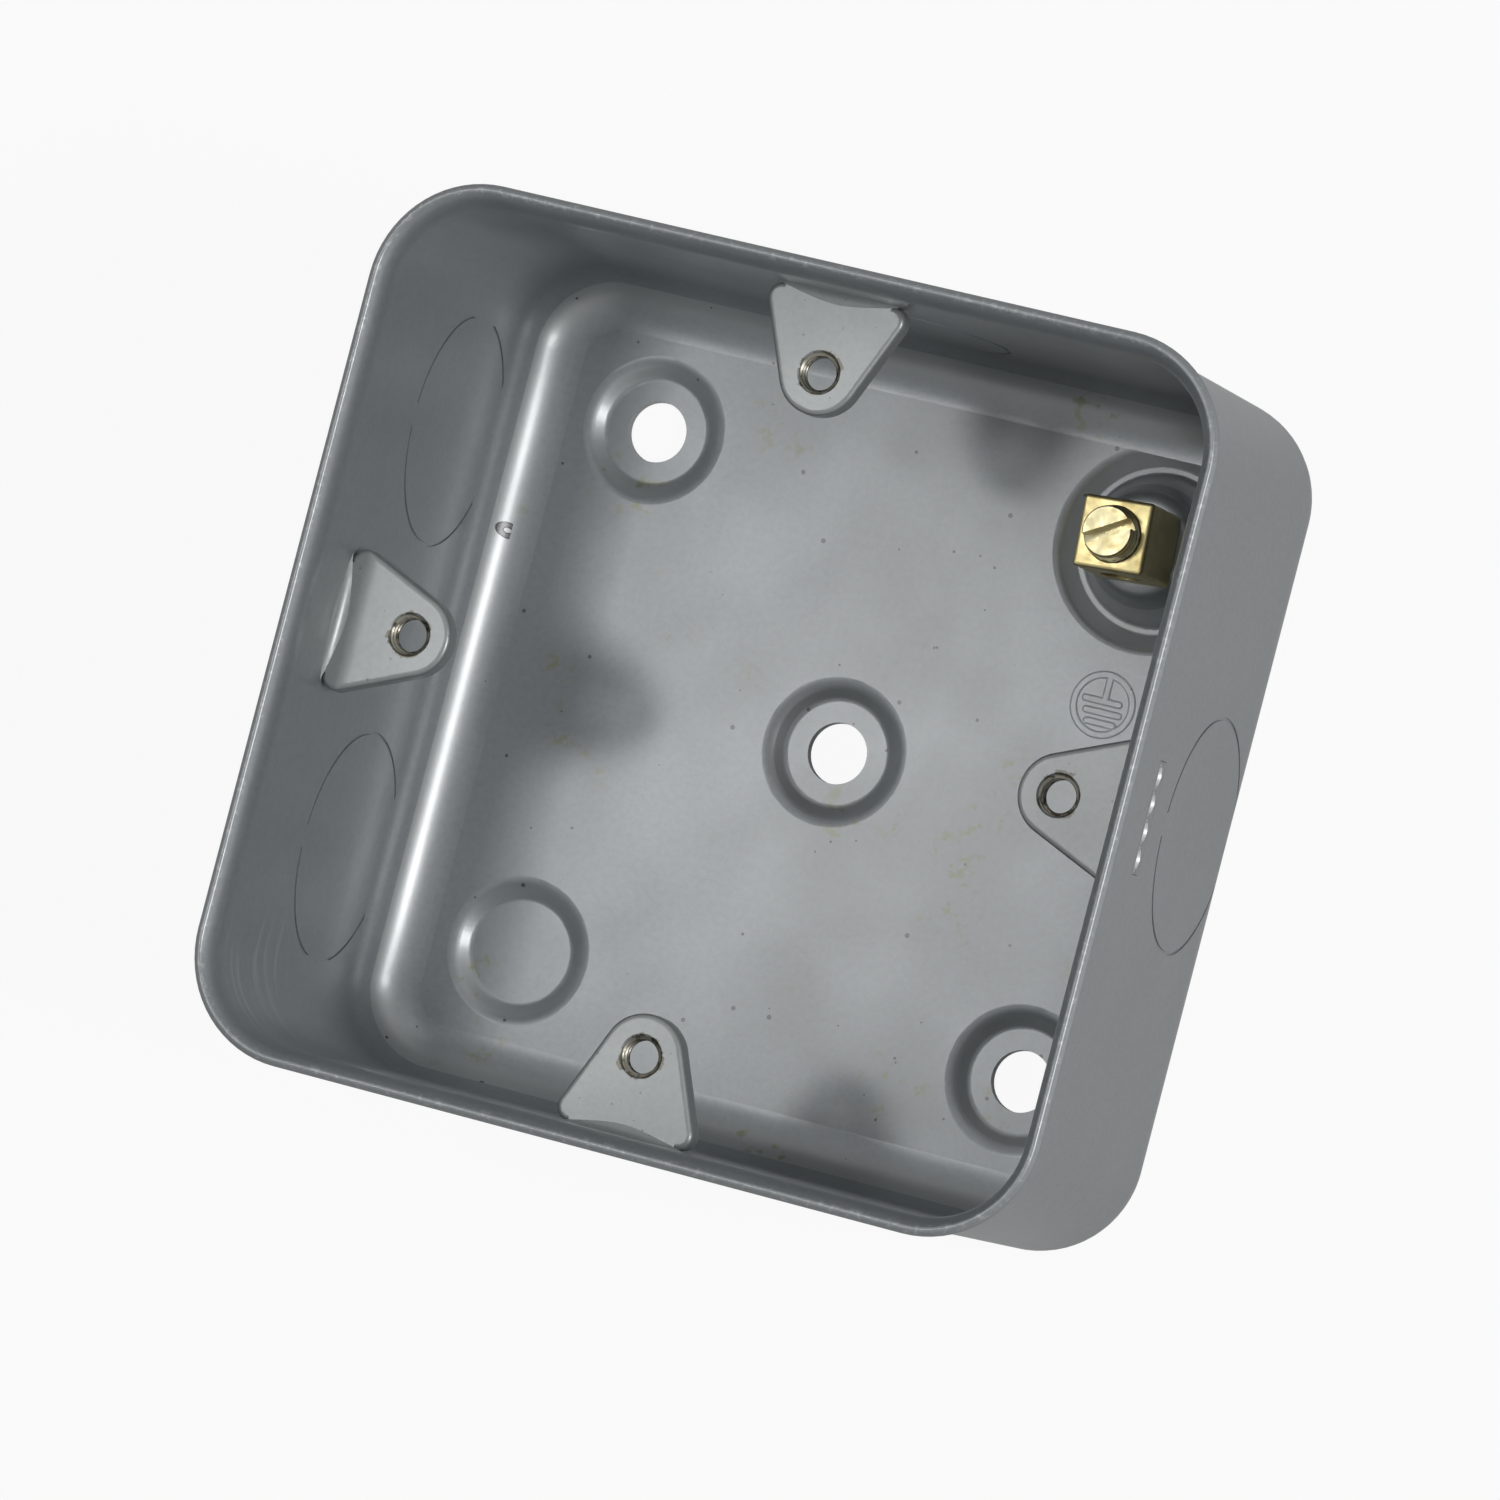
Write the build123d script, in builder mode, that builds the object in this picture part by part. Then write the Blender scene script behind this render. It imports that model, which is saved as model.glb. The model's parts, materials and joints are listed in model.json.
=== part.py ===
from build123d import *
import math
import os

# Metal junction box, open side up, resting on the pressed feet of its floor.
# Millimetres. The origin is the middle of the plane that the feet stand on.

# drawn sheet
sheet = 1.0
body_width = 76.2
body_corner = 9.1
box_depth = 40.0
floor_bend = 6.0
lip_radius = 2.5
lip_angle = 50.0
rim_round = 0.3

# pressed feet with the rear fixing holes
foot_height = 1.0
foot_pitch = 24.0
foot_flat_radius = 5.0
foot_slope_width = 1.3
foot_bend = 1.2
rear_hole_diameter = 5.5

# pressed seat of the earth terminal
seat_height = 4.5
seat_top_radius = 4.2
seat_base_radius = 6.45
seat_groove_width = 1.15
seat_slope_width = 1.55
seat_bend = 0.8
pressing_margin = 0.9

# knock-outs
knockout_diameter = 21.0
knockout_height = 15.8
knockout_pitch = 38.0
score_width = 0.3
score_depth = 0.15
tie_width = 2.0

# threaded lugs
lug_centres = 60.3
lug_thickness = 1.8
lug_drop = 9.0
lug_width = 12.6
lug_nose_radius = 3.7
lug_corner = 1.3
lug_edge = 0.5
lug_thread_diameter = 3.5
lug_countersink = 0.2
bead_length = 11.4
bead_radius = 1.3
bead_waist = 1.03
tail_width = 9.8
tail_clearance = 0.05
stake_count = 4
stake_pitch = 2.4
stake_radius = 1.3
stake_depth = 0.7
crease_width = 0.2
crease_depth = 0.3

# earth terminal
block_width = 6.35
block_height = 9.0
block_turn = 4.0
block_shift = 0.4
block_edge = 0.35
wire_hole_diameter = 3.6
wire_hole_height = 4.4
clamp_diameter = 5.0
clamp_length = 4.8
clamp_stand = 2.1
clamp_chamfer = 0.3
clamp_slot_width = 1.0
clamp_slot_depth = 1.4
clamp_slot_turn = 30.0
fixing_diameter = 4.0
fixing_head_diameter = 6.6
fixing_head_height = 2.2
fixing_reach = 2.5
fixing_chamfer = 0.3
fixing_slot_width = 1.0
fixing_slot_depth = 1.1
thread_clearance = 0.05
fixing_hole_clearance = 0.5

# places worked out from the sizes above
half_body = body_width / 2
half_inside = half_body - sheet
floor_top = foot_height + sheet
rim_top = foot_height + box_depth
lip_start = rim_top - (lip_radius + sheet) * math.sin(math.radians(lip_angle))
floor_half = half_body - floor_bend
floor_corner = body_corner - floor_bend
lug_top = rim_top - lug_drop
lug_under = lug_top - lug_thickness
lug_middle = lug_top - lug_thickness / 2
lug_hole_at = lug_centres / 2
seat_top = floor_top + seat_height
seat_under = seat_top - sheet
block_top = seat_top + block_height
foot_places = [(0, 0), (-foot_pitch, foot_pitch), (foot_pitch, -foot_pitch)]
blank_foot_place = (-foot_pitch, -foot_pitch)
terminal_place = (foot_pitch, foot_pitch)
foot_reach = foot_flat_radius + foot_slope_width + pressing_margin
seat_groove_radius = seat_base_radius + seat_groove_width
seat_reach = seat_groove_radius + seat_slope_width + pressing_margin

# side name, turn of the wall about Z, knock-out places along the wall
walls = {
    "right": (0, [0]),
    "top": (90, [0]),
    "left": (180, [-knockout_pitch / 2, knockout_pitch / 2]),
    "bottom": (270, [0]),
}


def wall_plane(turn, distance, height=0.0):
    """Upright plane facing outward: x runs along the wall, y runs up."""
    out = Vector(1, 0, 0).rotate(Axis.Z, turn)
    along = Vector(0, 1, 0).rotate(Axis.Z, turn)
    return Plane(origin=out * distance + Vector(0, 0, height), x_dir=along, z_dir=out)


def section_plane(turn):
    """Upright plane through the Z axis: x runs outward, y runs up."""
    out = Vector(1, 0, 0).rotate(Axis.Z, turn)
    across = Vector(0, -1, 0).rotate(Axis.Z, turn)
    return Plane(origin=(0, 0, 0), x_dir=out, z_dir=across)


def wall_profile():
    """Section of the drawn wall: floor bend, straight wall and flared lip."""
    turn = math.radians(lip_angle)
    mid = turn / 2
    lip_centre = half_body + lip_radius
    inner_radius = lip_radius + sheet
    half_turn = math.sqrt(0.5)

    def bend_point(radius, part):
        return (floor_half + radius * part, foot_height + floor_bend - radius * part)

    def lip_point(radius, angle):
        return (lip_centre - radius * math.cos(angle), lip_start + radius * math.sin(angle))

    with BuildSketch(section_plane(0)) as profile:
        with BuildLine():
            Line((floor_half, floor_top), (floor_half, foot_height))
            ThreePointArc(
                (floor_half, foot_height),
                bend_point(floor_bend, half_turn),
                (half_body, foot_height + floor_bend),
            )
            Line((half_body, foot_height + floor_bend), (half_body, lip_start))
            ThreePointArc(
                (half_body, lip_start),
                lip_point(lip_radius, mid),
                lip_point(lip_radius, turn),
            )
            Line(lip_point(lip_radius, turn), lip_point(inner_radius, turn))
            ThreePointArc(
                lip_point(inner_radius, turn),
                lip_point(inner_radius, mid),
                (half_inside, lip_start),
            )
            Line((half_inside, lip_start), (half_inside, foot_height + floor_bend))
            ThreePointArc(
                (half_inside, foot_height + floor_bend),
                bend_point(floor_bend - sheet, half_turn),
                (floor_half, floor_top),
            )
        make_face()
        fillet(profile.vertices().sort_by(Axis.Y)[-2:], rim_round)
    return profile.sketch


def press(place, centre_line, bend):
    """Turn a pressed section of the sheet, drawn by its middle line, about an upright axis."""
    x, y = place
    with BuildSketch(Plane(origin=(x, y, 0), x_dir=(1, 0, 0), z_dir=(0, -1, 0))) as section:
        with BuildLine():
            FilletPolyline(*centre_line, radius=bend)
        trace(line_width=sheet)
    revolve(profiles=section.sketch, axis=Axis((x, y, 0), (0, 0, 1)))


def foot_line(hole_radius):
    """Middle line of a foot: flat tread, slope and the floor round it."""
    low = sheet / 2
    high = foot_height + sheet / 2
    slope_end = foot_flat_radius + foot_slope_width
    return [(hole_radius, low), (foot_flat_radius, low), (slope_end, high), (foot_reach, high)]


def seat_line():
    """Middle line of the earth seat: raised top, steep cone, sunk groove and the floor."""
    top = seat_top - sheet / 2
    low = sheet / 2
    high = foot_height + sheet / 2
    hole_radius = fixing_diameter / 2 + fixing_hole_clearance
    slope_end = seat_groove_radius + seat_slope_width
    return [
        (hole_radius, top),
        (seat_top_radius, top),
        (seat_base_radius, low),
        (seat_groove_radius, low),
        (slope_end, high),
        (seat_reach, high),
    ]


def stake(turn):
    """Crease along the middle of a tail's end, with half-round dents of the punch below it."""
    with BuildSketch(wall_plane(turn, half_body, lug_middle)) as crease:
        Rectangle(tail_width, crease_width)
    extrude(crease.sketch, amount=-crease_depth, mode=Mode.SUBTRACT)
    first = -(stake_count - 1) / 2 * stake_pitch
    row = wall_plane(turn, half_body + stake_radius - stake_depth, lug_middle)
    for step in range(stake_count):
        with Locations(row.from_local_coords((first + stake_pitch * step, 0, 0))):
            Sphere(stake_radius, arc_size1=-90, arc_size2=0, mode=Mode.SUBTRACT)


# box shell
with BuildPart() as box_shell:
    straight = floor_half - floor_corner
    with BuildLine(Plane.XY.offset(foot_height)) as wall_path:
        side = Line((floor_half, 0), (floor_half, straight))
        for length in (2 * straight, 2 * straight, 2 * straight, straight):
            corner = JernArc(side @ 1, side % 1, floor_corner, 90)
            side = Line(corner @ 1, corner @ 1 + (corner % 1) * length)
    sweep(sections=wall_profile(), path=wall_path.line)

    with BuildSketch(Plane.XY.offset(foot_height)):
        RectangleRounded(2 * floor_half, 2 * floor_half, floor_corner)
    extrude(amount=sheet)

    with BuildSketch(Plane.XY.offset(foot_height)):
        with Locations(*foot_places, blank_foot_place):
            Circle(foot_reach)
        with Locations(terminal_place):
            Circle(seat_reach)
    extrude(amount=sheet, mode=Mode.SUBTRACT)
    for place in foot_places:
        press(place, foot_line(rear_hole_diameter / 2), foot_bend)
    press(blank_foot_place, foot_line(0), foot_bend)
    press(terminal_place, seat_line(), seat_bend)

    for turn, places in walls.values():
        for distance, inward in ((half_body, -1), (half_inside, 1)):
            with BuildSketch(wall_plane(turn, distance, knockout_height)):
                with Locations(*[(place, 0) for place in places]):
                    Circle(knockout_diameter / 2)
                    Circle(knockout_diameter / 2 - score_width, mode=Mode.SUBTRACT)
                    Rectangle(tie_width, knockout_diameter, mode=Mode.SUBTRACT)
            extrude(amount=inward * score_depth, mode=Mode.SUBTRACT)

        slot_width = tail_width + 2 * tail_clearance
        slot_height = lug_thickness + 2 * tail_clearance
        with BuildSketch(wall_plane(turn, half_inside, lug_middle)):
            Rectangle(slot_width, slot_height)
        extrude(amount=sheet, mode=Mode.SUBTRACT)
        stake(turn)

box_shell.part.label = "box_shell"


# bead of the right lug: a hollow fillet against the wall, running out to nothing at its ends
with BuildPart() as bead:
    hollow_axis = Axis((half_inside - bead_radius, 0, lug_top + bead_radius), (0, 1, 0))
    with Locations((half_inside, 0, lug_top)):
        Box(bead_radius, bead_length, bead_radius, align=(Align.MAX, Align.CENTER, Align.MIN))
    with BuildSketch(Plane(origin=hollow_axis.position)):
        with BuildLine():
            end = bead_length / 2
            wide = bead_radius * math.sqrt(2)
            Polyline((wide, -end), (0, -end), (0, end), (wide, end))
            ThreePointArc((wide, end), (bead_radius * bead_waist, 0), (wide, -end))
        make_face()
    revolve(axis=hollow_axis, mode=Mode.SUBTRACT)


# lug of the right wall: shoulders on the wall's inner face, tail staked in its slot
with BuildPart() as lug_form:
    with BuildSketch(Plane.XY.offset(lug_under)):
        with Locations((lug_hole_at, 0)):
            Circle(lug_nose_radius)
        with Locations((half_inside - lug_corner, 0)):
            with GridLocations(0, lug_width - 2 * lug_corner, 1, 2):
                Circle(lug_corner)
        make_hull()
    extrude(amount=lug_thickness)
    fillet(lug_form.faces().sort_by(Axis.Z)[-1].edges(), lug_edge)

    with BuildSketch(Plane.XY.offset(lug_under)):
        with Locations((half_inside - lug_corner, 0)):
            Rectangle(lug_corner + sheet, tail_width, align=(Align.MIN, Align.CENTER))
    extrude(amount=lug_thickness)
    stake(0)

    add(bead.part)

    with Locations((lug_hole_at, 0, lug_top)):
        CounterSinkHole(lug_thread_diameter / 2, lug_thread_diameter / 2 + lug_countersink,
                        counter_sink_angle=90)


# earth terminal block, held off the middle of its seat by the play in the screw hole
terminal_x, terminal_y = terminal_place[0], terminal_place[1] - block_shift
across_block = Vector(1, 0, 0).rotate(Axis.Z, block_turn)
along_wire = Vector(0, 1, 0).rotate(Axis.Z, block_turn)
block_base = Plane(origin=(terminal_x, terminal_y, seat_top), x_dir=across_block, z_dir=(0, 0, 1))
wire_plane = Plane(
    origin=(terminal_x, terminal_y, seat_top + wire_hole_height),
    x_dir=across_block,
    z_dir=along_wire,
)
with BuildPart() as earth_terminal_block:
    with BuildSketch(block_base):
        Rectangle(block_width, block_width)
    extrude(amount=block_height)
    fillet(earth_terminal_block.edges(), block_edge)
    with Locations(block_base.offset(block_height)):
        Hole(clamp_diameter / 2 + thread_clearance, depth=block_height - wire_hole_height)
    with Locations(block_base):
        Hole(fixing_diameter / 2 + thread_clearance, depth=wire_hole_height)
    with Locations(wire_plane):
        Hole(wire_hole_diameter / 2)

earth_terminal_block.part.label = "earth_terminal_block"


# headless clamp screw in the top of the block
clamp_top = Plane(origin=(terminal_x, terminal_y, block_top + clamp_stand))
with BuildPart() as clamp_screw:
    with BuildSketch(clamp_top):
        Circle(clamp_diameter / 2)
    extrude(amount=-clamp_length)
    chamfer(clamp_screw.edges().filter_by(GeomType.CIRCLE), clamp_chamfer)
    with BuildSketch(clamp_top):
        Rectangle(clamp_diameter, clamp_slot_width, rotation=clamp_slot_turn)
    extrude(amount=-clamp_slot_depth, mode=Mode.SUBTRACT)

clamp_screw.part.label = "clamp_screw"


# screw from behind that holds the block on its seat
head_face = Plane(origin=(terminal_x, terminal_y, seat_under - fixing_head_height))
with BuildPart() as terminal_fixing_screw:
    with BuildSketch(head_face.offset(fixing_head_height)):
        Circle(fixing_diameter / 2)
    extrude(amount=sheet + fixing_reach)
    with BuildSketch(head_face):
        Circle(fixing_head_diameter / 2)
    extrude(amount=fixing_head_height)
    ends = terminal_fixing_screw.edges().filter_by(GeomType.CIRCLE).sort_by(Axis.Z)
    chamfer((ends[0], ends[-1]), fixing_chamfer)
    with BuildSketch(head_face):
        Rectangle(fixing_head_diameter, fixing_slot_width)
    extrude(amount=fixing_slot_depth, mode=Mode.SUBTRACT)

terminal_fixing_screw.part.label = "terminal_fixing_screw"


os.makedirs("parts", exist_ok=True)
export_step(box_shell.part, "parts/box_shell.step")
for side_name in walls:
    turn = walls[side_name][0]
    with BuildPart() as lug:
        add(lug_form.part.rotate(Axis.Z, turn))
    lug.part.label = f"lug_{side_name}"
    export_step(lug.part, f"parts/lug_{side_name}.step")
export_step(earth_terminal_block.part, "parts/earth_terminal_block.step")
export_step(clamp_screw.part, "parts/clamp_screw.step")
export_step(terminal_fixing_screw.part, "parts/terminal_fixing_screw.step")
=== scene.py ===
import json
import math
from collections import namedtuple

import bmesh
import bpy
from mathutils import Matrix, Vector


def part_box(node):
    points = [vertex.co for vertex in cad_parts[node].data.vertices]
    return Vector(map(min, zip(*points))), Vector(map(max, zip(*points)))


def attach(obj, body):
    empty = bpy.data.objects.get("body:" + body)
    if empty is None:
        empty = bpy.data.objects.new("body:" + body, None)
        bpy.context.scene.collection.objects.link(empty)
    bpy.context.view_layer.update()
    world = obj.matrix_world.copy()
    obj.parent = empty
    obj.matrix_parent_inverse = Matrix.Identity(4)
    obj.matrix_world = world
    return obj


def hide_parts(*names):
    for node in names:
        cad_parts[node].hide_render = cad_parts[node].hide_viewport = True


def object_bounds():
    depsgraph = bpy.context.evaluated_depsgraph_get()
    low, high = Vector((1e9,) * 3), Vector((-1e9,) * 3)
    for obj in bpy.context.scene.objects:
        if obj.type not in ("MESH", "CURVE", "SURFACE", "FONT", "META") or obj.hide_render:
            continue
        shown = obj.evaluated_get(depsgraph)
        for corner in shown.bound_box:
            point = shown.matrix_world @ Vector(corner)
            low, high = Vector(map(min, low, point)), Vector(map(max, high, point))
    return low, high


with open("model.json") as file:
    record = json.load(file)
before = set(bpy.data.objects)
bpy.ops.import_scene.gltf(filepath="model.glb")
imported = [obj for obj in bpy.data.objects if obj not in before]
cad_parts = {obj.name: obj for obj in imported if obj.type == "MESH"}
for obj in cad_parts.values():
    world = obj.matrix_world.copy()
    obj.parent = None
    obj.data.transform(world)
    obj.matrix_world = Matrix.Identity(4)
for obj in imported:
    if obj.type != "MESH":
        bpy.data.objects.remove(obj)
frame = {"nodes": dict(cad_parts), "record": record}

cad_low, cad_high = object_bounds()
MM = 0.001
BODY = "root"

# places of the four lugs, from the record
LUG_THICKNESS = 1.8 * MM
lug_pattern = next(m for m in frame["record"]["mounts"] if m["name"] == "device_lugs")
LUG_FACE = lug_pattern["pos_m"][2]
LUG_MIDDLE = LUG_FACE - LUG_THICKNESS / 2
LUG_CIRCLE = lug_pattern["dims"]["pcd_mm"] / 2 * MM
LUG_HOLE = lug_pattern["dims"]["hole_r_mm"] * MM

# profile of every thread: how steep its flanks are, and what the flat root takes off them
FLANK_SLOPE = 1.6
ROOT_FLAT = 0.3

# lug threads
THREAD_PITCH = 0.6 * MM
THREAD_DEPTH = 0.3 * MM
THREAD_MOUTH = 0.2 * MM
THREAD_SIDES = 48
THREAD_LEVELS = 36
SLEEVE_SINK = 0.01 * MM

# clamp screw, kept a little inside its CAD solid
SCREW_PITCH = 0.8 * MM
SCREW_THREAD_DEPTH = 0.4 * MM
SCREW_TOP_LAND = 0.45 * MM
SCREW_TOP_STEP = 0.22 * MM
SCREW_EDGE = 0.12 * MM
SCREW_CLEARANCE = 0.04 * MM
SCREW_SIDES = 72
SCREW_STEP = 0.05 * MM
SLOT_WIDTH = 1.0 * MM
SLOT_DEPTH = 1.4 * MM
SLOT_TURN = math.radians(30)
SHARP_ANGLE = math.radians(35)

# earth sign pressed up from the floor of the box; its bars are in mm from its centre
FLOOR_TOP = 2.0 * MM
SIGN_CENTRE = Vector((22.9 * MM, 9.7 * MM))
SIGN_RADIUS = 2.67 * MM
SIGN_LINE = 0.42 * MM
SIGN_FLAT = 0.2 * MM
SIGN_HEIGHT = 0.04 * MM
SIGN_SINK = 0.01 * MM
SIGN_CELL = 0.06 * MM
SIGN_BARS = [
    ((0.1, 2.67), (0.1, 0.3)),
    ((-1.7, 0.3), (1.45, 0.3)),
    ((-1.4, -0.68), (1.65, -0.68)),
    ((-1.1, -1.62), (1.3, -1.62)),
]

# small oval ring dented into the left floor bend, painted near black as painted shade of its
# groove, with its half length and half width; the line and its blurred edge are shares of these,
# and the ring is open at its long end
DENT_CENTRE = Vector((-34.75 * MM, 12.2 * MM))
DENT_TURN = math.radians(-12)
DENT_LENGTH = 0.72 * MM
DENT_WIDTH = 0.52 * MM
DENT_FLOOR = 2.6 * MM
DENT_DEPTH = 0.2 * MM
DENT_LINE = 0.9
DENT_LINE_FULL = 0.3
DENT_LINE_END = 0.5
DENT_OPEN_START = 0.7 * DENT_LENGTH
DENT_OPEN_END = 0.85 * DENT_LENGTH

# painted highlight streaks, where the drawn inner face of the near left corner catches the light,
# by -(x + y) and by height
STREAK_START = 61.0 * MM
STREAK_FULL = 67.0 * MM
STREAK_LOW = 20.0 * MM
STREAK_HIGH = 26.0 * MM

# punched ends of the lugs in the outer walls, whose faces get a painted highlight
WALL_OUTER = 38.1 * MM
STAKE_DEPTH = 0.8 * MM
STAKE_SKIN = 0.03 * MM
STAKE_REACH = 4.9 * MM
STAKE_HEIGHT = 1.5 * MM

# paint rubbed off the rim, and chipped off round the lug holes
RIM_WEAR = 0.4 * MM
CHIP_REACH = 2.5 * MM
CHIP_MARGIN = 0.12 * MM
CHIP_BLUR = 0.1 * MM

# the floor is below this height; its pressed slopes are painted lighter, by the upward part of
# the normal, as painted light that lifts their shade
FLOOR_REACH = 4.0 * MM
SLOPE_STEEP = 0.8
SLOPE_LEVEL = 0.97

# patchy marks: scale of the noise per metre, its detail, and its values from no mark to full
Patches = namedtuple("Patches", "scale detail low high roughness stretch", defaults=(0.5, None))
CLOUDS = Patches(45.0, 3.0, 0.42, 0.72)
MOTTLE = Patches(1500.0, 4.0, 0.35, 0.7, roughness=0.75)
STAIN_AREAS = Patches(95.0, 2.0, 0.6, 0.68)
STAINS = Patches(800.0, 3.0, 0.55, 0.68)
RUBBED = Patches(1300.0, 3.0, 0.52, 0.66, roughness=0.7)
HIGHLIGHT_STREAKS = Patches(260.0, 3.0, 0.54, 0.7, roughness=0.6, stretch=(0.3, 0.3, 4.0))
PAINT_GLOSS = Patches(90.0, 3.0, 0.3, 0.7)
CHIP_BROWNING = Patches(1500.0, 2.0, 0.4, 0.6)
BRASS_TARNISH = Patches(500.0, 3.0, 0.45, 0.75)
STEEL_BROWNING = Patches(1100.0, 3.0, 0.48, 0.66)

# round specks: cells per metre, share of the cells that hold one, and its largest radius in cells
SMALL_SPECKS = (500.0, 0.5, 0.12)
LARGE_SPECKS = (200.0, 0.4, 0.06)
LUG_SPECKS = (1300.0, 0.5, 0.17)

# other noise: scale per metre, detail, roughness, and stretch where it has one
GRAIN = (3400.0, 2.0, 0.7)
DRAWING_LINES = (650.0, 3.0, 0.6, (1.0, 1.0, 0.05))
CHIP_OUTLINE = (750.0, 3.0, 0.6)
BRASS_MARKS = (900.0, 4.0, 0.6, (1.0, 1.0, 0.12))
NOISE_MIDDLE = 0.5

# share of the colour below that each mark hides
CLOUD_COVER = 0.08
MOTTLE_COVER = 0.32
SLOPE_LIGHT_COVER = 0.38
STAIN_COVER = 0.75
DIRT_COVER = 0.85
RUBBED_COVER = 0.45
STREAK_HIGHLIGHT_COVER = 0.28
LUG_SPECK_COVER = 0.45
TARNISH_COVER = 0.5

# colours
PAINT = (0.318, 0.340, 0.352)
PAINT_DARK = (0.233, 0.249, 0.258)
LUG_PAINT = (0.318, 0.340, 0.337)
PAINT_STAIN = (0.25, 0.275, 0.155)
# light grey of rubbed paint on the rim, also used as painted light on the floor slopes and
# painted highlight in the corner streaks
PAINT_WORN_AND_LIT = (0.62, 0.64, 0.64)
# light grey of the painted highlight inside the punch dents
PAINT_HIGHLIGHT = (0.68, 0.7, 0.7)
# near black of the dirt specks, also the painted shade in the floor dent's ring
SPECK_AND_DENT_SHADE = (0.07, 0.07, 0.075)
CHIP_DARK = (0.04, 0.034, 0.02)
CHIP_BROWN = (0.13, 0.118, 0.08)
BLOCK_BRASS = (0.54, 0.465, 0.235)
SCREW_BRASS = (0.56, 0.51, 0.31)
TARNISH = (0.45, 0.33, 0.12)
STEEL = (0.27, 0.26, 0.22)
STEEL_BROWN = (0.055, 0.048, 0.034)

# gloss: metallic share, lowest roughness and its rise in places, coat, and depth of the bump
PAINT_METALLIC = 0.35
PAINT_ROUGH = 0.39
PAINT_ROUGH_RISE = 0.06
PAINT_COAT = 0.7
PAINT_COAT_ROUGH = 0.22
PAINT_BUMP = 0.02 * MM
PAINT_BUMP_STRENGTH = 0.3
DRAWING_STRENGTH = 2.0
BLOCK_ROUGH = 0.28
SCREW_ROUGH = 0.26
BRASS_ROUGH_RISE = 0.15
BRASS_BUMP = 0.03 * MM
BRASS_BUMP_STRENGTH = 0.5
MARKS_LOW = 0.3
MARKS_HIGH = 0.7
STEEL_METALLIC = 0.9
STEEL_ROUGH = 0.35

# camera of the photograph
CAMERA_TARGET = Vector((-1.576, -2.179, 19.8)) * MM
CAMERA_DISTANCE = 811.9 * MM
CAMERA_AZIMUTH = math.radians(-5.378)
CAMERA_ELEVATION = math.radians(71.132)
CAMERA_ROLL = math.radians(-14.586)
CAMERA_LENS = 225.07
CAMERA_SENSOR = 36.0
CAMERA_NEAR = 0.01
CAMERA_FAR = 10.0

# lamps: azimuth from +X and elevation in degrees, distance, width and height in m, power in W
LAMPS = {
    "key": (174, 71.5, 0.62, 0.1, 0.1, 0.36),
    "right_side": (0, 36, 1.2, 0.35, 0.3, 5.7),
    "far_side": (90, 62, 1.2, 0.5, 0.5, 0.45),
}

# surroundings: their strength as seen or mirrored, and as light
WORLD_SEEN = 0.7
WORLD_LIGHT = 0.1

# studio floor, and the share of its own glow to the camera and in mirrors
STUDIO_SIZE = 1.6
STUDIO_GAP = 0.02 * MM
STUDIO_COLOUR = (0.8, 0.8, 0.8)
STUDIO_GLOW = 0.93
STUDIO_GLOW_MIRRORED = 0.08
WHITE = (1.0, 1.0, 1.0)


# meshes

def link(name, data):
    """A new object in the scene that holds this mesh, lamp or lens."""
    piece = bpy.data.objects.new(name, data)
    bpy.context.scene.collection.objects.link(piece)
    return piece


def mesh_from(name, form, smooth=True):
    """A mesh made from a bmesh, with its normals outward."""
    bmesh.ops.recalc_face_normals(form, faces=form.faces)
    mesh = bpy.data.meshes.new(name)
    form.to_mesh(mesh)
    form.free()
    mesh.shade_smooth() if smooth else mesh.shade_flat()
    return mesh


def apply_modifiers(piece):
    """The piece keeps the mesh that its modifiers give."""
    graph = bpy.context.evaluated_depsgraph_get()
    made = bpy.data.meshes.new_from_object(piece.evaluated_get(graph))
    piece.modifiers.clear()
    old = piece.data
    piece.data = made
    bpy.data.meshes.remove(old)


def ring_of(form, centre, radius_at, z, sides):
    """One ring of vertices about an upright axis, with a radius for each angle."""
    ring = []
    for step in range(sides):
        angle = math.tau * step / sides
        radius = radius_at(angle, z)
        ring.append(form.verts.new((
            centre.x + radius * math.cos(angle),
            centre.y + radius * math.sin(angle),
            z,
        )))
    return ring


def stack_of(form, centre, radius_at, low, high, levels, sides):
    """Rings at even heights from low to high."""
    heights = [low + (high - low) * level / levels for level in range(levels + 1)]
    return [ring_of(form, centre, radius_at, z, sides) for z in heights]


def join_rings(form, low, high):
    """Faces between two rings with the same number of vertices."""
    sides = len(low)
    for step in range(sides):
        after = (step + 1) % sides
        form.faces.new((low[step], low[after], high[after], high[step]))


def thread_wave(angle, z, pitch):
    """0 at the root and 1 at the crest of a right-hand thread."""
    turn = (z / pitch - angle / math.tau) % 1.0
    climb = 1.0 - abs(2.0 * turn - 1.0)
    return min(max(FLANK_SLOPE * climb - ROOT_FLAT, 0.0), 1.0)


def segment_distance(point, start, end):
    """Distance from a point to a straight line between two points."""
    along = end - start
    share = max(0.0, min(1.0, (point - start).dot(along) / along.length_squared))
    return (point - start - along * share).length


# materials

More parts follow.
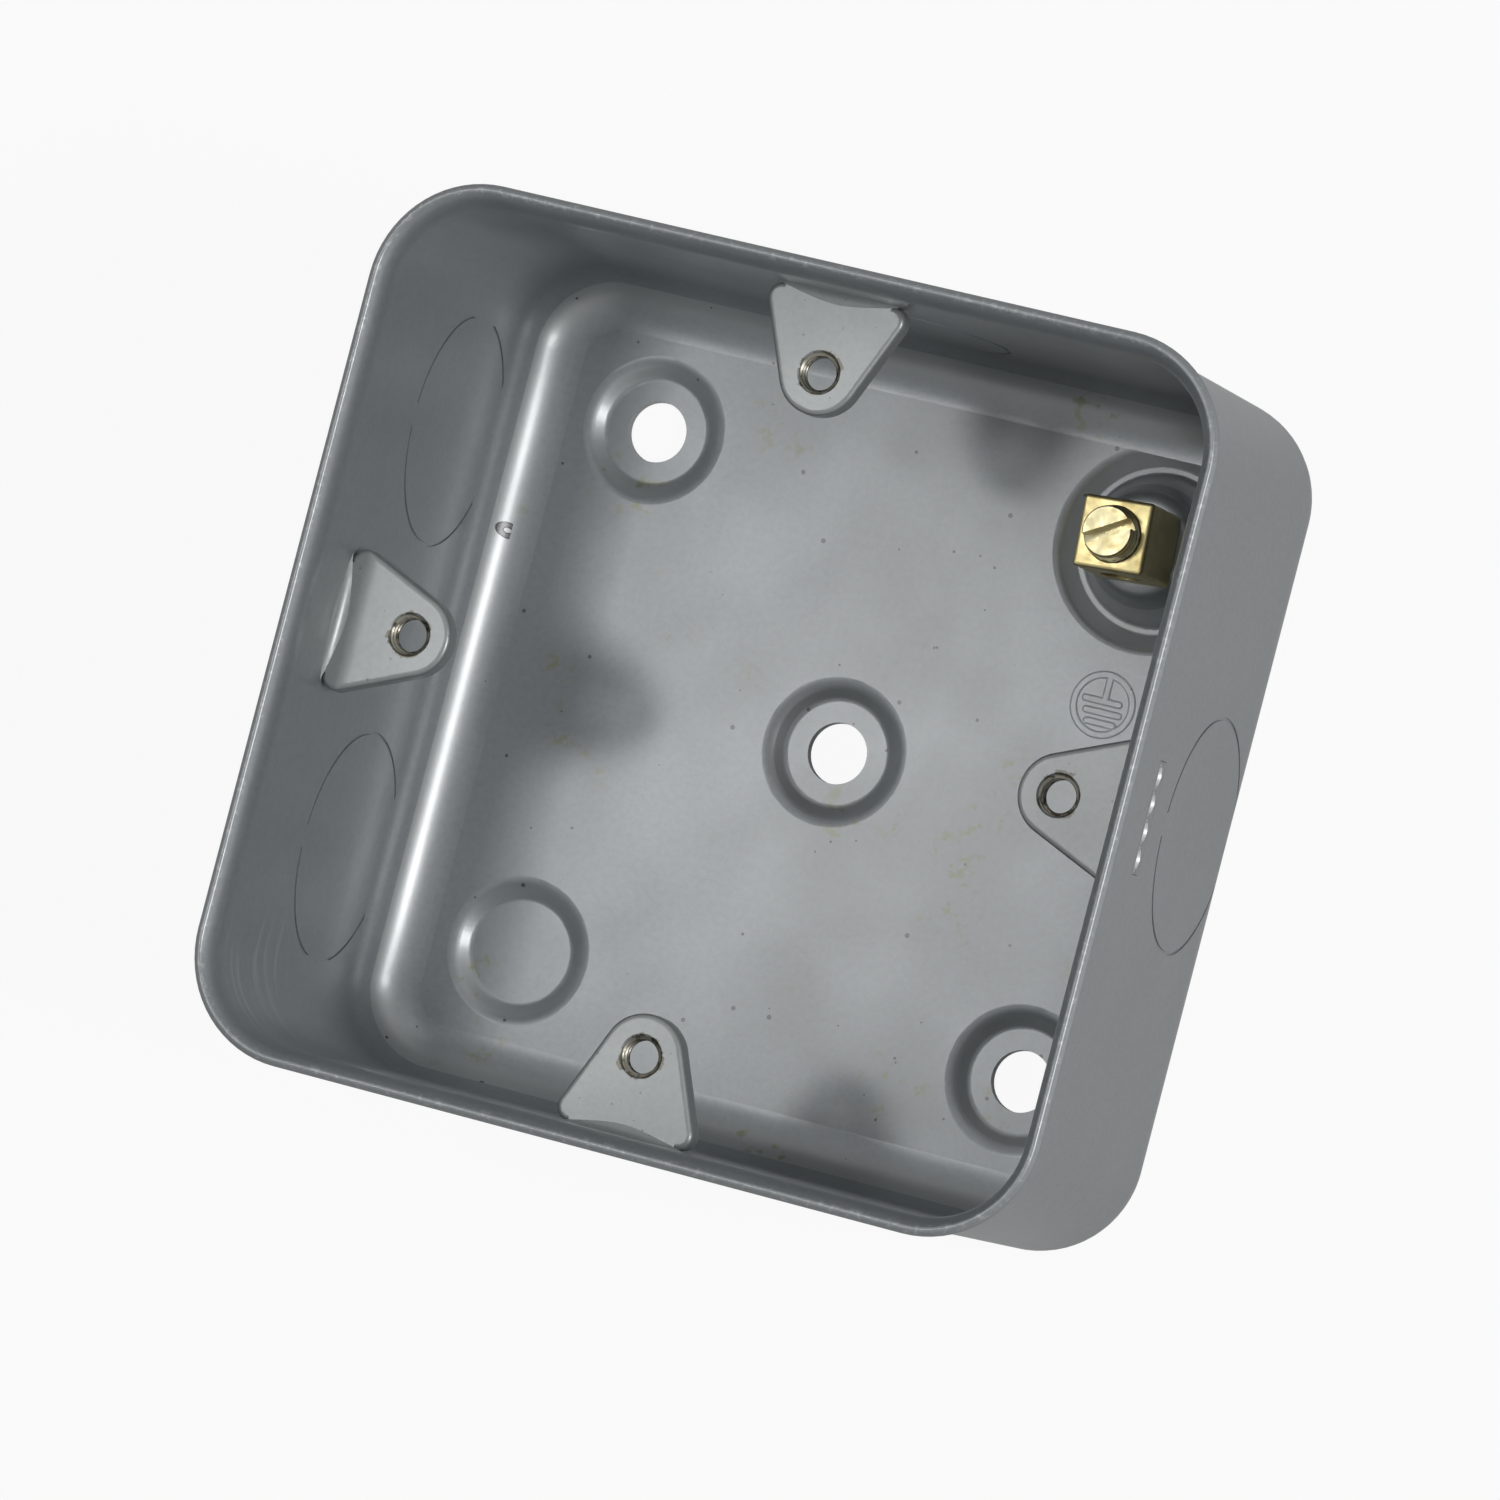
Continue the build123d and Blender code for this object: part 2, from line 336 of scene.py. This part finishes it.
class Graph:
    """A node tree, built one node at a time."""

    def __init__(self, tree):
        self.nodes = tree.nodes
        self.links = tree.links

    def wire(self, source, target):
        """Gives an input a number, a colour or another node's output."""
        if isinstance(source, (int, float)):
            target.default_value = source
        elif isinstance(source, tuple):
            target.default_value = (*source, 1.0)
        else:
            self.links.new(source, target)

    def math(self, operation, *values):
        made = self.nodes.new("ShaderNodeMath")
        made.operation = operation
        for index, value in enumerate(values):
            self.wire(value, made.inputs[index])
        return made.outputs[0]

    def product(self, first, *others):
        """Values multiplied together, such as masks that all have to hold."""
        for other in others:
            first = self.math("MULTIPLY", first, other)
        return first

    def light_path(self):
        """Whether a ray comes from the camera, and whether from a mirror or through glass."""
        path = self.nodes.new("ShaderNodeLightPath").outputs
        mirrored = self.math("MAXIMUM", path["Is Glossy Ray"], path["Is Transmission Ray"])
        return path["Is Camera Ray"], mirrored


class Shader(Graph):
    """A material on one Principled shader, in object coordinates."""

    def __init__(self, name, colour):
        self.material = bpy.data.materials.new(name)
        self.material.use_nodes = True
        super().__init__(self.material.node_tree)
        self.surface = self.nodes["Principled BSDF"]
        self.colour = colour
        coordinates = self.nodes.new("ShaderNodeTexCoord")
        self.place = coordinates.outputs["Object"]
        self.facing = coordinates.outputs["Normal"]

    def noise(self, scale, detail, roughness, stretch=None):
        made = self.nodes.new("ShaderNodeTexNoise")
        made.inputs["Scale"].default_value = scale
        made.inputs["Detail"].default_value = detail
        made.inputs["Roughness"].default_value = roughness
        place = self.place
        if stretch:
            mapping = self.nodes.new("ShaderNodeMapping")
            mapping.inputs["Scale"].default_value = stretch
            self.links.new(self.place, mapping.inputs["Vector"])
            place = mapping.outputs[0]
        self.links.new(place, made.inputs["Vector"])
        return made.outputs["Fac"]

    def ramp(self, value, low, high, start=0.0, end=1.0):
        """Value taken smoothly from low..high to start..end."""
        made = self.nodes.new("ShaderNodeMapRange")
        made.interpolation_type = "SMOOTHSTEP"
        self.wire(value, made.inputs["Value"])
        made.inputs["From Min"].default_value = low
        made.inputs["From Max"].default_value = high
        made.inputs["To Min"].default_value = start
        made.inputs["To Max"].default_value = end
        return made.outputs["Result"]

    def patches(self, kind, start=0.0, end=1.0):
        """Patchy noise from start, where there is no mark, to end."""
        noise = self.noise(kind.scale, kind.detail, kind.roughness, kind.stretch)
        return self.ramp(noise, kind.low, kind.high, start, end)

    def specks(self, scale, share, size):
        """Mask of small round specks: 1 on a speck."""
        cells = self.nodes.new("ShaderNodeTexVoronoi")
        cells.inputs["Scale"].default_value = scale
        self.links.new(self.place, cells.inputs["Vector"])
        pick = self.nodes.new("ShaderNodeSeparateColor")
        self.links.new(cells.outputs["Color"], pick.inputs[0])
        chosen = self.math("LESS_THAN", pick.outputs[0], share)
        reach = self.math("MULTIPLY", pick.outputs[1], size)
        near = self.math("LESS_THAN", cells.outputs["Distance"], reach)
        return self.product(chosen, near)

    def axes(self, vector=None):
        made = self.nodes.new("ShaderNodeSeparateXYZ")
        self.links.new(vector or self.place, made.inputs[0])
        return made.outputs["X"], made.outputs["Y"], made.outputs["Z"]

    def mix(self, amount, first, second):
        """Colour mixed from first to second."""
        made = self.nodes.new("ShaderNodeMix")
        made.data_type = "RGBA"
        self.wire(amount, made.inputs["Factor"])
        self.wire(first, made.inputs["A"])
        self.wire(second, made.inputs["B"])
        return made.outputs["Result"]

    def cover(self, mask, colour, share=1.0):
        """Lays a colour over the shader's colour so far, as strongly as mask times share."""
        self.colour = self.mix(self.product(mask, share), self.colour, colour)
        self.set(Base_Color=self.colour)

    def bump(self, height, depth, strength):
        """Fine unevenness of the surface."""
        made = self.nodes.new("ShaderNodeBump")
        made.inputs["Strength"].default_value = strength
        made.inputs["Distance"].default_value = depth
        self.links.new(height, made.inputs["Height"])
        self.links.new(made.outputs[0], self.surface.inputs["Normal"])

    def press(self, mask, depth):
        """Sinks the masked part, under the bump that is already there."""
        made = self.nodes.new("ShaderNodeBump")
        made.invert = True
        made.inputs["Strength"].default_value = 1.0
        made.inputs["Distance"].default_value = depth
        self.links.new(mask, made.inputs["Height"])
        fine = self.surface.inputs["Normal"].links[0].from_node
        self.links.new(made.outputs[0], fine.inputs["Normal"])

    def set(self, **values):
        for name, value in values.items():
            self.wire(value, self.surface.inputs[name.replace("_", " ")])


def wall_place(shader, x, y):
    """Distance out toward the nearest wall, and distance to the side of that wall's middle."""
    off_x = shader.math("ABSOLUTE", x)
    off_y = shader.math("ABSOLUTE", y)
    return shader.math("MAXIMUM", off_x, off_y), shader.math("MINIMUM", off_x, off_y)


def distance(shader, first, second):
    """Length of the line with these two sides."""
    squares = [shader.math("POWER", side, 2.0) for side in (first, second)]
    return shader.math("SQRT", shader.math("ADD", *squares))


def punch_highlight(shader, x, y, z):
    """Mask of the faces inside the punch dents of the four walls, which get a painted highlight.
    """
    out, across = wall_place(shader, x, y)
    return shader.product(
        shader.math("GREATER_THAN", out, WALL_OUTER - STAKE_DEPTH),
        shader.math("LESS_THAN", out, WALL_OUTER - STAKE_SKIN),
        shader.math("LESS_THAN", across, STAKE_REACH),
        shader.math("COMPARE", z, LUG_MIDDLE, STAKE_HEIGHT),
    )


def dent_ring(shader, x, y, z):
    """Mask of the small oval ring dented into the left floor bend, open at one end."""
    across = shader.math("SUBTRACT", x, DENT_CENTRE.x)
    up = shader.math("SUBTRACT", y, DENT_CENTRE.y)
    turn_cos = math.cos(DENT_TURN)
    turn_sin = math.sin(DENT_TURN)
    long_way = shader.math(
        "ADD", shader.product(across, turn_cos), shader.product(up, turn_sin)
    )
    short_way = shader.math(
        "SUBTRACT", shader.product(up, turn_cos), shader.product(across, turn_sin)
    )
    oval = distance(
        shader,
        shader.math("DIVIDE", long_way, DENT_LENGTH),
        shader.math("DIVIDE", short_way, DENT_WIDTH),
    )
    off_line = shader.math("ABSOLUTE", shader.math("SUBTRACT", oval, DENT_LINE))
    return shader.product(
        shader.ramp(off_line, DENT_LINE_FULL, DENT_LINE_END, 1.0, 0.0),
        shader.ramp(long_way, DENT_OPEN_START, DENT_OPEN_END, 1.0, 0.0),
        shader.math("GREATER_THAN", z, DENT_FLOOR),
    )


def corner_highlight_streaks(shader, x, y, z):
    """Mask of the painted highlight streaks on the inner face of the near left corner."""
    toward_corner = shader.math("MULTIPLY", shader.math("ADD", x, y), -1.0)
    face_x, face_y = shader.axes(shader.facing)[:2]
    outward = shader.math("ADD", shader.product(x, face_x), shader.product(y, face_y))
    return shader.product(
        shader.patches(HIGHLIGHT_STREAKS),
        shader.ramp(toward_corner, STREAK_START, STREAK_FULL),
        shader.ramp(z, STREAK_LOW, STREAK_HIGH),
        shader.math("LESS_THAN", outward, 0.0),
    )


def paint_shader(name, paint=PAINT):
    """Grey aluminium paint with a fine grain and the dirt and wear of the photograph, with
    painted light on the floor slopes, painted highlights in the corner streaks and punch dents,
    and painted shade in the floor dent.
    """
    shader = Shader(name, paint)
    x, y, z = shader.axes()
    shader.cover(shader.patches(CLOUDS), PAINT_DARK, CLOUD_COVER)
    shader.cover(shader.patches(MOTTLE), PAINT_DARK, MOTTLE_COVER)

    on_floor = shader.math("LESS_THAN", z, FLOOR_REACH)
    upward = shader.axes(shader.facing)[2]
    slope_light = shader.ramp(upward, SLOPE_STEEP, SLOPE_LEVEL, 1.0, 0.0)
    # painted light: the floor's pressed slopes and bends are lightened where they turn from level
    shader.cover(shader.product(slope_light, on_floor), PAINT_WORN_AND_LIT, SLOPE_LIGHT_COVER)
    stains = shader.product(shader.patches(STAIN_AREAS), shader.patches(STAINS))
    shader.cover(shader.product(stains, on_floor), PAINT_STAIN, STAIN_COVER)
    dirt = shader.math("MAXIMUM", shader.specks(*SMALL_SPECKS), shader.specks(*LARGE_SPECKS))
    shader.cover(shader.product(dirt, on_floor), SPECK_AND_DENT_SHADE, DIRT_COVER)

    dent = dent_ring(shader, x, y, z)
    # painted shade: the dent's ring is painted near black
    shader.cover(dent, SPECK_AND_DENT_SHADE)
    rim = shader.ramp(z, cad_high.z - RIM_WEAR, cad_high.z - RIM_WEAR / 2)
    shader.cover(shader.product(rim, shader.patches(RUBBED)), PAINT_WORN_AND_LIT, RUBBED_COVER)
    # painted highlight: light streaks on the inner face of the near left corner
    shader.cover(corner_highlight_streaks(shader, x, y, z), PAINT_WORN_AND_LIT, STREAK_HIGHLIGHT_COVER)
    # painted highlight inside the punch dents
    shader.cover(punch_highlight(shader, x, y, z), PAINT_HIGHLIGHT)

    rough = shader.patches(PAINT_GLOSS, PAINT_ROUGH, PAINT_ROUGH + PAINT_ROUGH_RISE)
    shader.set(Metallic=PAINT_METALLIC, Roughness=rough)
    shader.set(Coat_Weight=PAINT_COAT, Coat_Roughness=PAINT_COAT_ROUGH)
    drawn = shader.product(shader.noise(*DRAWING_LINES), DRAWING_STRENGTH)
    height = shader.math("ADD", shader.noise(*GRAIN), drawn)
    shader.bump(height, PAINT_BUMP, PAINT_BUMP_STRENGTH)
    shader.press(dent, DENT_DEPTH)
    return shader


def lug_shader(name):
    """The same paint, chipped to brown and dark metal round the threaded hole."""
    shader = paint_shader(name, LUG_PAINT)
    shader.cover(shader.specks(*LUG_SPECKS), SPECK_AND_DENT_SHADE, LUG_SPECK_COVER)
    x, y = shader.axes()[:2]
    out, across = wall_place(shader, x, y)
    from_hole = distance(shader, shader.math("SUBTRACT", out, LUG_CIRCLE), across)
    patchy = shader.math("SUBTRACT", shader.noise(*CHIP_OUTLINE), NOISE_MIDDLE)
    ragged = shader.math("SUBTRACT", from_hole, shader.product(patchy, CHIP_REACH))
    edge = LUG_HOLE + CHIP_MARGIN
    chip = shader.ramp(ragged, edge - CHIP_BLUR, edge + CHIP_BLUR, 1.0, 0.0)
    shader.cover(chip, shader.mix(shader.patches(CHIP_BROWNING), CHIP_DARK, CHIP_BROWN))
    return shader


def brass_shader(name, colour, rough):
    """Drawn brass with fine lengthwise marks, tarnished in places."""
    shader = Shader(name, colour)
    shader.cover(shader.patches(BRASS_TARNISH), TARNISH, TARNISH_COVER)
    marks = shader.noise(*BRASS_MARKS)
    dulled = shader.ramp(marks, MARKS_LOW, MARKS_HIGH, rough, rough + BRASS_ROUGH_RISE)
    shader.set(Metallic=1.0, Roughness=dulled)
    shader.bump(marks, BRASS_BUMP, BRASS_BUMP_STRENGTH)
    return shader


def steel_shader(name):
    """Bare cut steel of the threads, browned in places."""
    shader = Shader(name, STEEL)
    shader.cover(shader.patches(STEEL_BROWNING), STEEL_BROWN)
    shader.set(Metallic=STEEL_METALLIC, Roughness=STEEL_ROUGH)
    return shader


def dress(piece, shader):
    """The object shows only this material."""
    piece.data.materials.clear()
    piece.data.materials.append(shader.material)


# pieces

def lug_thread(name, hole, radius, low, high, shader):
    """Threaded lining of one lug hole, its outer side sunk just into the lug."""
    form = bmesh.new()

    def inner(angle, z):
        mouth = min(1.0, (high - z) / THREAD_MOUTH)
        return radius - THREAD_DEPTH * mouth * thread_wave(angle, z, THREAD_PITCH)

    def outer(angle, z):
        return radius + SLEEVE_SINK

    loop = stack_of(form, hole, inner, low, high, THREAD_LEVELS, THREAD_SIDES)
    loop += [ring_of(form, hole, outer, z, THREAD_SIDES) for z in (high, low)]
    for index, ring in enumerate(loop):
        join_rings(form, ring, loop[(index + 1) % len(loop)])
    piece = link(name, mesh_from(name, form))
    dress(piece, shader)
    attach(piece, BODY)


def cut_slot(piece, centre, top, length):
    """Cuts the driver's slot across the top of the screw."""
    form = bmesh.new()
    place = (
        Matrix.Translation((centre.x, centre.y, top))
        @ Matrix.Rotation(SLOT_TURN, 4, "Z")
        @ Matrix.Diagonal((length, SLOT_WIDTH, 2 * SLOT_DEPTH, 1.0))
    )
    bmesh.ops.create_cube(form, size=1.0, matrix=place)
    cutter = link("slot_cutter", mesh_from("slot_cutter", form, smooth=False))
    cut = piece.modifiers.new("slot", "BOOLEAN")
    cut.object = cutter
    cut.solver = "EXACT"
    apply_modifiers(piece)
    bpy.data.objects.remove(cutter)


def clamp_screw(shader):
    """Headless screw with a thread, a smaller turned end and a slot."""
    low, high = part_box("clamp_screw")
    centre = (low + high) / 2
    radius = (high.x - low.x) / 2
    levels = round((high.z - low.z) / SCREW_STEP)
    form = bmesh.new()

    def body(angle, z):
        below_top = high.z - z
        land = min(max((below_top - SCREW_TOP_LAND) / SCREW_PITCH, 0.0), 1.0)
        edge = max(0.0, SCREW_EDGE - below_top, SCREW_EDGE - (z - low.z))
        valley = SCREW_THREAD_DEPTH * land * (1.0 - thread_wave(angle, z, SCREW_PITCH))
        return radius - SCREW_CLEARANCE - valley - edge - SCREW_TOP_STEP * (1.0 - land)

    rings = stack_of(form, centre, body, low.z, high.z, levels, SCREW_SIDES)
    for first, second in zip(rings, rings[1:]):
        join_rings(form, first, second)
    form.faces.new(rings[0])
    form.faces.new(rings[-1])
    piece = link("clamp_screw_threaded", mesh_from("clamp_screw_threaded", form))
    cut_slot(piece, centre, high.z, 3 * radius)
    piece.data.set_sharp_from_angle(angle=SHARP_ANGLE)
    dress(piece, shader)
    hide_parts("clamp_screw")
    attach(piece, BODY)


def earth_sign(shader):
    """Protective earth sign, pressed up from the floor: a ring, a stem and three bars."""
    bars = [(Vector(start) * MM, Vector(end) * MM) for start, end in SIGN_BARS]
    reach = SIGN_RADIUS + 2 * SIGN_LINE
    corner = Vector((reach, reach))
    steps = range(math.ceil(2 * reach / SIGN_CELL) + 1)
    base = FLOOR_TOP - SIGN_SINK

    def height(point):
        nearest = abs(point.length - SIGN_RADIUS)
        for start, end in bars:
            nearest = min(nearest, segment_distance(point, start, end))
        share = min(max(0.0, (SIGN_LINE - nearest) / (SIGN_LINE - SIGN_FLAT)), 1.0)
        return SIGN_HEIGHT * share * share * (3.0 - 2.0 * share)

    form = bmesh.new()
    grid = []
    for row in steps:
        line = []
        for column in steps:
            point = Vector((column, row)) * SIGN_CELL - corner
            level = height(point)
            place = SIGN_CENTRE + point
            line.append((form.verts.new((place.x, place.y, base + level)), level))
        grid.append(line)
    for near, far in zip(grid, grid[1:]):
        for column in steps[:-1]:
            corners = (near[column], near[column + 1], far[column + 1], far[column])
            if max(level for vertex, level in corners) > 0.0:
                form.faces.new([vertex for vertex, level in corners])
    loose = [vertex for vertex in form.verts if not vertex.link_faces]
    bmesh.ops.delete(form, geom=loose, context="VERTS")
    piece = link("earth_sign", mesh_from("earth_sign", form))
    dress(piece, shader)
    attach(piece, BODY)


# floor, lights and camera

def studio_floor():
    """Pale floor: near white to the camera, and still darker where the box shades it."""
    form = bmesh.new()
    bmesh.ops.create_grid(form, x_segments=1, y_segments=1, size=STUDIO_SIZE)
    floor = link("floor", mesh_from("floor", form))
    floor.location.z = -STUDIO_GAP
    material = bpy.data.materials.new("floor")
    material.use_nodes = True
    graph = Graph(material.node_tree)
    graph.nodes.clear()
    diffuse = graph.nodes.new("ShaderNodeBsdfDiffuse")
    graph.wire(STUDIO_COLOUR, diffuse.inputs["Color"])
    glow = graph.nodes.new("ShaderNodeEmission")
    graph.wire(1.0, glow.inputs["Strength"])
    camera_ray, mirrored = graph.light_path()
    in_mirrors = graph.product(mirrored, STUDIO_GLOW_MIRRORED)
    mixed = graph.nodes.new("ShaderNodeMixShader")
    graph.wire(graph.math("MULTIPLY_ADD", camera_ray, STUDIO_GLOW, in_mirrors), mixed.inputs[0])
    graph.wire(diffuse.outputs[0], mixed.inputs[1])
    graph.wire(glow.outputs[0], mixed.inputs[2])
    out = graph.nodes.new("ShaderNodeOutputMaterial")
    graph.wire(mixed.outputs[0], out.inputs["Surface"])
    floor.data.materials.append(material)


def world_light():
    """White surroundings: one strength as seen and mirrored, another as light."""
    world = bpy.data.worlds.new("world")
    bpy.context.scene.world = world
    world.use_nodes = True
    graph = Graph(world.node_tree)
    back = graph.nodes["Background"]
    graph.wire(WHITE, back.inputs["Color"])
    strength = graph.nodes.new("ShaderNodeMapRange")
    strength.inputs["To Min"].default_value = WORLD_LIGHT
    strength.inputs["To Max"].default_value = WORLD_SEEN
    graph.wire(graph.math("MAXIMUM", *graph.light_path()), strength.inputs["Value"])
    graph.wire(strength.outputs["Result"], back.inputs["Strength"])


def toward(azimuth, elevation):
    """Direction from the box; the azimuth is from +X."""
    return Vector((
        math.cos(elevation) * math.cos(azimuth),
        math.cos(elevation) * math.sin(azimuth),
        math.sin(elevation),
    ))


def area_light(name, azimuth, elevation, distance_out, width, height, power):
    """Soft lamp at the end of a line from the middle of the box."""
    lamp = bpy.data.lights.new(name, "AREA")
    lamp.shape = "RECTANGLE"
    lamp.size = width
    lamp.size_y = height
    lamp.energy = power
    holder = link(name, lamp)
    away = toward(math.radians(azimuth), math.radians(elevation))
    holder.location = CAMERA_TARGET + away * distance_out
    holder.rotation_mode = "QUATERNION"
    holder.rotation_quaternion = away.to_track_quat("Z", "Y")


def photo_camera():
    """Camera at the photograph's angle, looking down into the box from its right side."""
    back = toward(CAMERA_AZIMUTH, CAMERA_ELEVATION)
    level = Vector((0.0, 1.0, 0.0))
    level = (level - back * level.dot(back)).normalized()
    side = level.cross(back)
    up = level * math.cos(CAMERA_ROLL) + side * math.sin(CAMERA_ROLL)
    right = up.cross(back)
    lens = bpy.data.cameras.new("camera")
    lens.sensor_width = CAMERA_SENSOR
    lens.lens = CAMERA_LENS
    lens.clip_start = CAMERA_NEAR
    lens.clip_end = CAMERA_FAR
    camera = link("camera", lens)
    turn = Matrix((right, up, back)).transposed().to_4x4()
    camera.matrix_world = Matrix.Translation(CAMERA_TARGET + back * CAMERA_DISTANCE) @ turn
    bpy.context.scene.camera = camera


paint = paint_shader("grey_paint")
lug_paint = lug_shader("grey_lug_paint")
block_brass = brass_shader("block_brass", BLOCK_BRASS, BLOCK_ROUGH)
screw_brass = brass_shader("screw_brass", SCREW_BRASS, SCREW_ROUGH)
bare_steel = steel_shader("bare_steel")

dress(frame["nodes"]["box_shell"], paint)
dress(frame["nodes"]["earth_terminal_block"], block_brass)
dress(frame["nodes"]["terminal_fixing_screw"], bare_steel)

thread_top = LUG_FACE - THREAD_MOUTH / 2
for quarter, side_name in enumerate(("right", "top", "left", "bottom")):
    heading = math.pi / 2 * quarter
    hole = Vector((math.cos(heading), math.sin(heading))) * LUG_CIRCLE
    dress(frame["nodes"][f"lug_{side_name}"], lug_paint)
    below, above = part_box(f"lug_{side_name}")
    lug_thread(f"thread_{side_name}", hole, LUG_HOLE, below.z, thread_top, bare_steel)
clamp_screw(screw_brass)
earth_sign(paint)

studio_floor()
world_light()
for lamp_name, lamp_values in LAMPS.items():
    area_light(lamp_name, *lamp_values)
photo_camera()

bpy.context.scene.view_settings.view_transform = "Standard"
